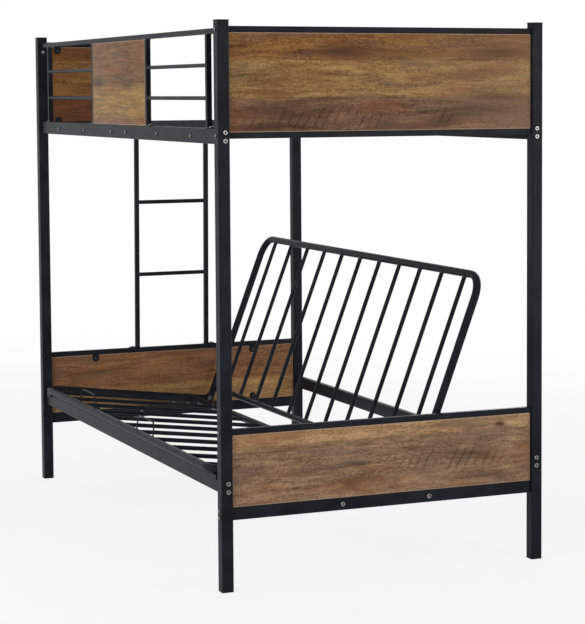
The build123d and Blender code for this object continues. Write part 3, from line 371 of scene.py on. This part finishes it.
def band_share(tree, board, up, low, high):
    """How high a point lies on the board, as a share that wavers a little and bends the seams."""
    share = add_node(tree, "MapRange", {"Value": up, "From Min": low.z, "From Max": high.z})
    shift = add_node(
        tree,
        "MapRange",
        {
            "Value": drawn_out(tree, board, *seam_wave_pattern),
            "To Min": -seam_share,
            "To Max": seam_share,
        },
    )
    return add_node(
        tree, "Math", {0: share.outputs["Result"], 1: shift.outputs["Result"]}, operation="ADD"
    ).outputs[0]


def plank_colour(tree, bands, share, weighted_patterns):
    """The planks' own colour: each band's dark and light tones, mixed by all the patterns."""
    tones = []
    for tone in (1, 2):
        stops = []
        start = 0.0
        for band in bands:
            stops.append((start + blend_share / 2, linear(band[tone])))
            stops.append((band[0] - blend_share / 2, linear(band[tone])))
            start = band[0]
        ramp = add_node(tree, "ValToRGB", {"Fac": share}, stops=stops)
        tones.append(ramp.outputs["Color"])
    lightness = 0.5
    for pattern, weight in weighted_patterns:
        term = add_node(
            tree,
            "MapRange",
            {"Value": pattern, "To Min": -weight / 2, "To Max": weight / 2},
            clamp=False,
        )
        lightness = add_node(
            tree, "Math", {0: term.outputs["Result"], 1: lightness}, operation="ADD"
        ).outputs[0]
    return add_node(
        tree,
        "Mix",
        {mix_factor: lightness, mix_a: tones[0], mix_b: tones[1]},
        data_type="RGBA",
    ).outputs[mix_result]


def hue_layers(tree, hue):
    """Warm and grey patches. Each begins at one level of the pattern and is full at another."""
    layers = []
    for tone, start, full, most in ((warm, 0.52, 0.66, 0.5), (grey, 0.48, 0.34, 0.45)):
        amount = add_node(
            tree, "MapRange", {"Value": hue, "From Min": start, "From Max": full, "To Max": most}
        )
        layers.append((amount.outputs["Result"], tone))
    return layers


def sheen_layer(tree, along, end, palest):
    """Painted sheen: the board grows paler from its middle towards its far end."""
    fade = add_node(
        tree, "MapRange", {"Value": along, "From Min": 0.0, "From Max": end, "To Max": palest}
    )
    return fade.outputs["Result"], sheen_pale


def seam_layer(tree, share, seam, hue):
    """A thin dark line where two planks meet, that fades in and out."""
    line_strength = 0.9
    gap = add_node(tree, "Math", {0: share, 1: seam}, operation="SUBTRACT").outputs[0]
    width = add_node(tree, "Math", {0: gap}, operation="ABSOLUTE").outputs[0]
    line = add_node(
        tree,
        "MapRange",
        {"Value": width, "From Min": seam_share / 2, "From Max": 0.0, "To Max": line_strength},
    ).outputs["Result"]
    faded = add_node(tree, "Math", {0: line, 1: hue}, operation="MULTIPLY").outputs[0]
    return faded, seam_dark


def stain_layer(tree, wavy, mottle, place_and_size, darkness):
    """A knot or stain with a soft edge, broken up by the mottle."""
    mottle_average = 0.5
    spot = oval(tree, wavy, place_and_size, softness=0.9)
    rough_spot = add_node(tree, "Math", {0: spot, 1: mottle}, operation="MULTIPLY").outputs[0]
    strength = add_node(
        tree,
        "Math",
        {0: rough_spot, 1: darkness / mottle_average},
        operation="MULTIPLY",
        use_clamp=True,
    )
    return strength.outputs[0], knot_dark


def ring_layer(tree, wavy, mottle, place_and_size):
    """Nested oval lines, unsteady and fading outwards."""
    ring_share, ring_jitter = 0.17, 0.8
    line_share, line_strength = 0.8, 0.45
    fade_start, fade_end = 0.6, 1.4
    uneven = add_node(tree, "Math", {0: mottle, 1: ring_jitter}, operation="MULTIPLY").outputs[0]
    reach = add_node(
        tree,
        "Math",
        {0: oval_reach(tree, wavy, *place_and_size), 1: uneven},
        operation="ADD",
    ).outputs[0]
    ring = add_node(tree, "Math", {0: reach, 1: ring_share}, operation="PINGPONG").outputs[0]
    line = add_node(
        tree,
        "MapRange",
        {
            "Value": ring,
            "From Min": line_share * ring_share,
            "From Max": 0.0,
            "To Max": line_strength,
        },
    ).outputs["Result"]
    fading = add_node(
        tree, "MapRange", {"Value": reach, "From Min": fade_end, "From Max": fade_start}
    ).outputs["Result"]
    rings = add_node(tree, "Math", {0: line, 1: fading}, operation="MULTIPLY").outputs[0]
    return rings, seam_dark


def saw_layer(tree, board, wavy, field):
    """Thin slanted scratches at an even spacing, broken off here and there."""
    saw_spacing, saw_lean = 25.0 * mm, radians(30)
    line_width, line_strength = 0.24, 0.6
    break_start, break_end = 0.36, 0.52
    leaning = add_node(
        tree, "VectorRotate", {"Vector": board, "Axis": (0.0, 0.0, 1.0), "Angle": saw_lean}
    ).outputs[0]
    lines = add_node(
        tree,
        "TexWave",
        {
            "Vector": leaning,
            "Scale": pi / (10 * saw_spacing),  # at a scale of one, waves are pi / 10 apart
            "Distortion": 1.1,
            "Detail": 2.0,
            "Detail Scale": 1.5,
        },
        bands_direction="X",
    ).outputs[1]
    thin = add_node(
        tree,
        "MapRange",
        {"Value": lines, "From Min": line_width, "From Max": 0.0, "To Max": line_strength},
    ).outputs["Result"]
    broken = add_node(
        tree,
        "MapRange",
        {
            "Value": drawn_out(tree, board, *saw_break_pattern),
            "From Min": break_start,
            "From Max": break_end,
        },
    ).outputs["Result"]
    inside = oval(tree, wavy, field, softness=0.35)
    marks = add_node(tree, "Math", {0: thin, 1: inside}, operation="MULTIPLY").outputs[0]
    marks = add_node(tree, "Math", {0: marks, 1: broken}, operation="MULTIPLY").outputs[0]
    return marks, saw_dark


def arris_highlight_layer(tree, ways_and_edges):
    """Painted highlight: the foil is drawn pale along the board's arris, where the eased edge catches
    the light.
    """
    arris_highlight_width, arris_highlight_strength = 1.6 * mm, 0.6
    arris_highlight = 0.0
    for value, edge_low, edge_high in ways_and_edges:
        for edge, way in ((edge_low, 1), (edge_high, -1)):
            strip = add_node(
                tree,
                "MapRange",
                {
                    "Value": value,
                    "From Min": edge + way * 2 * arris_highlight_width,
                    "From Max": edge + way * arris_highlight_width,
                    "To Max": arris_highlight_strength,
                },
            ).outputs["Result"]
            arris_highlight = add_node(tree, "Math", {0: strip, 1: arris_highlight}, operation="MAXIMUM").outputs[0]
    return arris_highlight, arris_highlight_pale


def printed_board(name, grain_axis, low, high):
    """Printed paper foil on particle board: satin planks, streaked and pored, with a pale edge of
    painted highlight.
    """
    wander_reach = 14.0 * mm
    pore_depth = 0.12 * mm
    rough_pores, smooth_grain = 0.58, 0.46
    material, tree, shader, place = start_material(
        f"printed_wood_foil_{name}", IOR=1.48, Specular_IOR_Level=0.12
    )
    axes = add_node(tree, "SeparateXYZ", {"Vector": place})
    along = axes.outputs[grain_axis]
    up = axes.outputs["Z"]
    through = axes.outputs["X" if grain_axis == "Y" else "Y"]
    board = add_node(tree, "CombineXYZ", {"X": along, "Y": up, "Z": through}).outputs[0]

    # The grain wanders up and down a little along the board
    wander = add_node(
        tree,
        "MapRange",
        {
            "Value": drawn_out(tree, board, *wander_pattern),
            "From Min": noise_low,
            "From Max": noise_high,
            "To Min": -wander_reach,
            "To Max": wander_reach,
        },
    ).outputs["Result"]
    wandered_up = add_node(tree, "Math", {0: up, 1: wander}, operation="ADD").outputs[0]
    wavy = add_node(tree, "CombineXYZ", {"X": along, "Y": wandered_up, "Z": through}).outputs[0]
    hue = drawn_out(tree, wavy, *hue_pattern)
    cloud = drawn_out(tree, board, *cloud_pattern)
    streak = drawn_out(tree, wavy, *streak_pattern)
    grain = drawn_out(tree, wavy, *grain_pattern)
    mottle = drawn_out(tree, board, *mottle_pattern)
    share = band_share(tree, board, up, low, high)
    colour = plank_colour(
        tree,
        board_prints[name],
        share,
        (
            (cloud, cloud_weight),
            (streak, streak_weight),
            (grain, grain_weight),
            (mottle, mottle_weight),
        ),
    )

    # Everything that is printed over the planks, with the painted sheen and the painted arris
    # highlight, as pairs of an amount and a tone
    layers = hue_layers(tree, hue)
    # painted sheen towards the board's far end
    if name in sheen_ends:
        layers.append(sheen_layer(tree, along, high.y, sheen_ends[name]))
    for band in board_prints[name][:-1]:
        layers.append(seam_layer(tree, share, band[0], hue))
    for *place_and_size, darkness in stains.get(name, ()):
        layers.append(stain_layer(tree, wavy, mottle, place_and_size, darkness))
    for place_and_size in ring_ovals.get(name, ()):
        layers.append(ring_layer(tree, wavy, mottle, place_and_size))
    for field in saw_fields.get(name, ()):
        layers.append(saw_layer(tree, board, wavy, field))
    ends = (low.y, high.y) if grain_axis == "Y" else (low.x, high.x)
    # pale line along the arris: painted highlight
    layers.append(arris_highlight_layer(tree, ((along, *ends), (up, low.z, high.z))))
    for amount, tone in layers:
        colour = add_node(
            tree, "Mix", {mix_factor: amount, mix_a: colour, mix_b: tone}, data_type="RGBA"
        ).outputs[mix_result]
    tree.links.new(colour, shader.inputs["Base Color"])

    gloss = add_node(
        tree,
        "MapRange",
        {
            "Value": grain,
            "From Min": noise_low,
            "From Max": noise_high,
            "To Min": rough_pores,
            "To Max": smooth_grain,
        },
    )
    tree.links.new(gloss.outputs["Result"], shader.inputs["Roughness"])
    relief = add_node(tree, "Math", {0: grain, 1: mottle}, operation="ADD").outputs[0]
    bump = add_node(tree, "Bump", {"Height": relief, "Strength": 0.3, "Distance": pore_depth})
    tree.links.new(bump.outputs["Normal"], shader.inputs["Normal"])
    return material


# New meshes


def finish_piece(mesh_builder, name, body, material):
    """Makes an object of a bmesh, shades it, and fixes it to its body."""
    smooth_angle = radians(35)
    bmesh.ops.recalc_face_normals(mesh_builder, faces=mesh_builder.faces)
    mesh = bpy.data.meshes.new(name)
    mesh_builder.to_mesh(mesh)
    mesh_builder.free()
    mesh.polygons.foreach_set("use_smooth", [True] * len(mesh.polygons))
    mesh.set_sharp_from_angle(angle=smooth_angle)
    mesh.materials.append(material)
    piece = bpy.data.objects.new(name, mesh)
    bpy.context.scene.collection.objects.link(piece)
    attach(piece, body)
    return piece


def make_board(name, grain_axis):
    """A flat board with an eased arris, in the place of its plain CAD solid."""
    arris = 0.9 * mm
    low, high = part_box(name)
    board = bmesh.new()
    bmesh.ops.create_cube(board, size=1.0)
    bmesh.ops.scale(board, vec=high - low, verts=board.verts)
    bmesh.ops.translate(board, vec=(low + high) / 2, verts=board.verts)
    bmesh.ops.bevel(
        board,
        geom=board.edges,
        offset=arris,
        offset_type="OFFSET",
        segments=3,
        profile=0.5,
        affect="EDGES",
        material=-1,
    )
    material = printed_board(name, grain_axis, low, high)
    piece = finish_piece(board, f"{name}_foiled", "frame", material)
    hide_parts(name)


for board_name in board_prints:
    if "guard" in board_name:
        make_board(board_name, "X")
    else:
        make_board(board_name, "Y")


def islands(node):
    """The loose pieces of a CAD node, in its mesh's own order, each as a list of corner places."""
    same_place = 0.01 * mm
    copy = bmesh.new()
    copy.from_mesh(frame["nodes"][node].data)
    bmesh.ops.remove_doubles(copy, verts=copy.verts, dist=same_place)
    found = []
    left = set(copy.verts)
    for first in copy.verts:
        if first not in left:
            continue
        left.remove(first)
        group = [first]
        for vert in group:
            for edge in vert.link_edges:
                other = edge.other_vert(vert)
                if other in left:
                    left.remove(other)
                    group.append(other)
        found.append([vert.co.copy() for vert in group])
    copy.free()
    return found


def box_middle(points):
    """The middle of the box round some places."""
    return Vector([(max(p[i] for p in points) + min(p[i] for p in points)) / 2 for i in range(3)])


# Weld beads. Each is a small ring round a rod's end, pressed onto the tube that the rod meets.
# The tubes' sizes are those of the CAD solids.

bead_radius = 1.3 * mm
bead_sides = 6
bead_steps = 24
bead_standoff = bead_radius / 3  # how far the middle of the bead lies outside the rod
ripple_height = 0.15 * bead_radius
ripple_count = 7
ripple_turn = 40  # radians for each metre along the bed, so that the beads along it differ
squareness = 8  # the power of the rounded square that a square tube's bead follows
saddle_limit = 0.98  # a bead's reach to the side is held to this share of the tube's radius

futon_tube_radius = 12.5 * mm
back_bar_radius = 10.0 * mm
futon_rod_radius = 7.0 * mm
guard_tube_half = 8.0 * mm
foot_plate = 3.0 * mm


def weld_bead(beads, centre, outward, across, half_width, tube_radius=None, square=False):
    """Adds a bead round a rod end. Outward points along the rod, across along the tube it meets."""
    ring = bmesh.new()
    section = bmesh.ops.create_circle(ring, segments=bead_sides, radius=bead_radius, cap_ends=False)
    bmesh.ops.rotate(ring, verts=ring.verts, matrix=Matrix.Rotation(pi / 2, 3, "X"))
    bmesh.ops.translate(ring, verts=ring.verts, vec=(half_width + bead_standoff, 0, 0))
    bmesh.ops.spin(
        ring,
        geom=section["verts"] + ring.edges[:],
        cent=(0, 0, 0),
        axis=(0, 0, 1),
        angle=2 * pi,
        steps=bead_steps,
        use_merge=True,
    )
    for vert in ring.verts:
        angle = atan2(vert.co.y, vert.co.x)
        if square:
            corner_sum = cos(angle) ** squareness + sin(angle) ** squareness
            grown = half_width * (corner_sum ** (-1 / squareness) - 1)
            vert.co += Vector((cos(angle), sin(angle), 0)) * grown
        lift = ripple_height * sin(ripple_count * angle + ripple_turn * centre.x)
        if tube_radius:
            side = min(abs(vert.co.y), tube_radius * saddle_limit)
            lift += sqrt(tube_radius ** 2 - side ** 2) - tube_radius
        vert.co.z += lift
    frame_axes = Matrix((across, outward.cross(across), outward)).transposed()
    bmesh.ops.transform(
        ring, matrix=Matrix.Translation(centre) @ frame_axes.to_4x4(), verts=ring.verts
    )
    holder = bpy.data.meshes.new("bead")
    ring.to_mesh(holder)
    ring.free()
    beads.from_mesh(holder)
    bpy.data.meshes.remove(holder)


def rod_ends(points, direction):
    """The middles of a rod's two ends, and its radius, from its corner places."""
    reaches = [point.dot(direction) for point in points]
    middle = sum(points, Vector()) / len(points)
    axis_point = middle - direction * middle.dot(direction)
    radius = max((point - direction * point.dot(direction) - axis_point).length for point in points)
    return axis_point + direction * min(reaches), axis_point + direction * max(reaches), radius


def weld_rods(name, node, body, direction, across, tube_radii):
    """Beads at both ends of every rod of a node. Tube radii are for the start and the end."""
    beads = bmesh.new()
    for points in islands(node):
        start, end, radius = rod_ends(points, direction)
        for centre, outward, tube_radius in (
            (start, direction, tube_radii[0]),
            (end, -direction, tube_radii[1]),
        ):
            saddle = 0.0
            if tube_radius:
                saddle = tube_radius - sqrt(tube_radius ** 2 - radius ** 2)
            weld_bead(beads, centre + outward * saddle, outward, across, radius, tube_radius)
    finish_piece(beads, name, body, weld_coat)


def rod_direction(node, radius, rise_sign):
    """The way in which a node's parallel leaning rods run, worked out from its box in a few rounds."""
    settling_rounds = 6
    low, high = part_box(node)
    run = high.y - low.y
    rise = high.z - low.z
    direction = Vector((0, run, rise_sign * rise)).normalized()
    for _ in range(settling_rounds):
        run_clear = run - 2 * radius * abs(direction.z)
        rise_clear = rise - 2 * radius * abs(direction.y)
        direction = Vector((0, run_clear, rise_sign * rise_clear)).normalized()
    return direction


def weld_guard_uprights(side):
    """Square beads at the foot plate and at the top tube of every upright of one guard."""
    top_band = 0.1 * mm
    beads = bmesh.new()
    for points in islands(f"{side}_guard_uprights"):
        highest = max(point.z for point in points)
        lowest = min(point.z for point in points)
        head = box_middle([point for point in points if point.z > highest - top_band])
        foot = Vector((head.x, head.y, lowest + foot_plate))
        weld_bead(beads, foot, z_axis, x_axis, guard_tube_half, square=True)
        weld_bead(beads, head, -z_axis, x_axis, guard_tube_half, square=True)
    finish_piece(beads, f"{side}_guard_upright_welds", "frame", weld_coat)


seat_direction = rod_direction("seat_rods", futon_rod_radius, -1)
back_direction = rod_direction("backrest_rods", futon_rod_radius, 1)
weld_rods("seat_rod_welds", "seat_rods", "seat", seat_direction, x_axis, (futon_tube_radius,) * 2)
weld_rods(
    "backrest_rod_welds",
    "backrest_rods",
    "back",
    back_direction,
    x_axis,
    (back_bar_radius, futon_tube_radius),
)
for side in ("front", "back"):
    weld_rods(f"{side}_guard_rod_welds", f"{side}_guard_rods", "frame", x_axis, y_axis, (None, None))
weld_rods("ladder_rung_welds", "ladder_rungs", "frame", y_axis, x_axis, (None, None))
for side in ("front", "back"):
    weld_guard_uprights(side)


# Dark discs of painted shade in the hexagon sockets of the bolt heads


def shade_sockets(name, node, outward_axis, socket_radius, socket_depth):
    """Puts a dark disc of painted shade in each socket. The heads face away from the middle along the
    given axis.
    """
    shortest_bolt = 10.0 * mm
    floor_thickness = 0.2 * mm
    rim_band = 0.05 * mm
    floors = bmesh.new()
    for points in islands(node):
        side = sum(point.dot(outward_axis) for point in points)
        outward = outward_axis if side > 0 else -outward_axis
        reaches = [point.dot(outward) for point in points]
        if max(reaches) - min(reaches) < shortest_bolt:
            continue
        centre = box_middle([point for point in points if point.dot(outward) > max(reaches) - rim_band])
        floor_place = Matrix.Translation(centre - outward * (socket_depth - floor_thickness))
        bmesh.ops.create_cone(
            floors,
            cap_ends=True,
            segments=6,
            radius1=socket_radius,
            radius2=socket_radius,
            depth=floor_thickness,
            matrix=floor_place @ outward.to_track_quat("Z", "Y").to_matrix().to_4x4(),
        )
    finish_piece(floors, name, "frame", socket_shade_steel)


frame_bolt_socket, frame_bolt_depth = 3.2 * mm, 3.0 * mm
screw_socket, screw_depth = 2.1 * mm, 2.1 * mm
shade_sockets("frame_bolt_sockets", "frame_bolts", x_axis, frame_bolt_socket, frame_bolt_depth)
shade_sockets(
    "support_bolt_sockets", "support_bracket_bolts", x_axis, frame_bolt_socket, frame_bolt_depth
)
shade_sockets("post_screw_sockets", "post_screws", y_axis, screw_socket, screw_depth)
shade_sockets("deck_bolt_sockets", "deck_bolts", y_axis, screw_socket, screw_depth)


# Carried-over nodes take the finish of their slot

for part in frame["record"]["subparts"]:
    if part["material_slot"] in finishes:
        slots = frame["nodes"][part["node"]].data.materials
        slots.clear()
        slots.append(finishes[part["material_slot"]])


# Room


def white_when_seen(tree):
    """One for rays that the camera, a gloss or a clear piece sends out."""
    path = add_node(tree, "LightPath")
    seen = add_node(
        tree,
        "Math",
        {0: path.outputs["Is Camera Ray"], 1: path.outputs["Is Glossy Ray"]},
        operation="ADD",
    )
    return add_node(
        tree,
        "Math",
        {0: seen.outputs[0], 1: path.outputs["Is Transmission Ray"]},
        operation="ADD",
        use_clamp=True,
    ).outputs[0]


def light_the_room():
    """An even pale room light, whose own look is white."""
    soft_level = 0.50
    world = bpy.data.worlds.new("pale_room")
    world.use_nodes = True
    bpy.context.scene.world = world
    tree = world.node_tree
    tree.nodes.clear()
    soft = add_node(tree, "Background", {"Color": linear("#fbfcff"), "Strength": soft_level})
    white = add_node(tree, "Background", {"Color": (1, 1, 1, 1), "Strength": 1.0})
    both = add_node(
        tree, "MixShader", {0: white_when_seen(tree), 1: soft.outputs[0], 2: white.outputs[0]}
    )
    add_node(tree, "OutputWorld", {"Surface": both.outputs[0]})


def lay_floor():
    """A pale matt floor that fades to the white of the room away from the bed."""
    floor_half = 30.0
    near_reach, far_reach = 2.2, 6.0
    near_white = 0.8  # the share of plain white under the bed, where the rest takes the shadow
    material = bpy.data.materials.new("pale_matt_floor")
    material.use_nodes = True
    tree = material.node_tree
    tree.nodes.clear()
    place = add_node(tree, "TexCoord").outputs["Object"]
    reach = add_node(tree, "VectorMath", {0: place}, operation="LENGTH").outputs["Value"]
    fade = add_node(
        tree,
        "MapRange",
        {"Value": reach, "From Min": near_reach, "From Max": far_reach, "To Min": near_white},
        interpolation_type="SMOOTHSTEP",
    ).outputs["Result"]
    seen = add_node(tree, "Math", {0: fade, 1: white_when_seen(tree)}, operation="MULTIPLY")
    paint = add_node(tree, "BsdfDiffuse", {"Color": linear("#f1f1f1")})
    glow = add_node(tree, "Emission", {"Color": (1, 1, 1, 1), "Strength": 1.0})
    both = add_node(
        tree, "MixShader", {0: seen.outputs[0], 1: paint.outputs[0], 2: glow.outputs[0]}
    )
    add_node(tree, "OutputMaterial", {"Surface": both.outputs[0]})
    grid = bmesh.new()
    bmesh.ops.create_grid(grid, x_segments=1, y_segments=1, size=floor_half)
    mesh = bpy.data.meshes.new("floor")
    grid.to_mesh(mesh)
    grid.free()
    mesh.materials.append(material)
    floor = bpy.data.objects.new("floor", mesh)
    bpy.context.scene.collection.objects.link(floor)


# Square soft lamps: place, target, side, and the share of full daylight for a face turned to it
lamps = {
    "key_lamp": ((2.6, -4.4, 2.4), (0, 0, 0.7), 2.5, 0.22),
    "end_lamp": ((4.6, 2.0, 1.2), (0.9, 0, 0.6), 2.0, 0.32),
    "low_lamp": ((0.2, -3.4, 0.9), (0, -0.5, 0.2), 1.4, 0.25),
    "back_lamp": ((-4.2, 4.2, 2.8), (0, 0, 0.8), 2.5, 0.25),
}


def hang_lamp(name, place, target, size, share):
    """Hangs one lamp, turned to its target."""
    way = Vector(target) - Vector(place)
    lamp = bpy.data.lights.new(name, "AREA")
    lamp.shape = "SQUARE"
    lamp.size = size
    lamp.energy = share * pi ** 2 * way.length ** 2
    holder = bpy.data.objects.new(name, lamp)
    holder.location = place
    holder.rotation_euler = way.to_track_quat("-Z", "Y").to_euler()
    bpy.context.scene.collection.objects.link(holder)


def place_camera():
    """The photograph's view: its focal length in pixels, its place, and where it points."""
    picture_width, picture_height = 585, 624
    focal_pixels = 2031.9
    centre_x, centre_y = 340.0, 240.0
    camera_place = (6.4725, -2.5372, 1.4548)
    azimuth, downward, roll = radians(66.48), 0.0727, -0.0053
    camera = bpy.data.cameras.new("camera")
    camera.sensor_width = 36.0
    camera.lens = focal_pixels * camera.sensor_width / picture_height
    camera.shift_x = (picture_width / 2 - centre_x) / picture_height
    camera.shift_y = (centre_y - picture_height / 2) / picture_height
    camera.clip_end = 100.0
    holder = bpy.data.objects.new("camera", camera)
    turn = (
        Matrix.Rotation(azimuth, 4, "Z")
        @ Matrix.Rotation(pi / 2 - downward, 4, "X")
        @ Matrix.Rotation(roll, 4, "Z")
    )
    holder.matrix_world = Matrix.Translation(camera_place) @ turn
    bpy.context.scene.collection.objects.link(holder)
    bpy.context.scene.camera = holder


light_the_room()
lay_floor()
for lamp_name, lamp_settings in lamps.items():
    hang_lamp(lamp_name, *lamp_settings)
place_camera()
bpy.context.scene.view_settings.view_transform = "Standard"
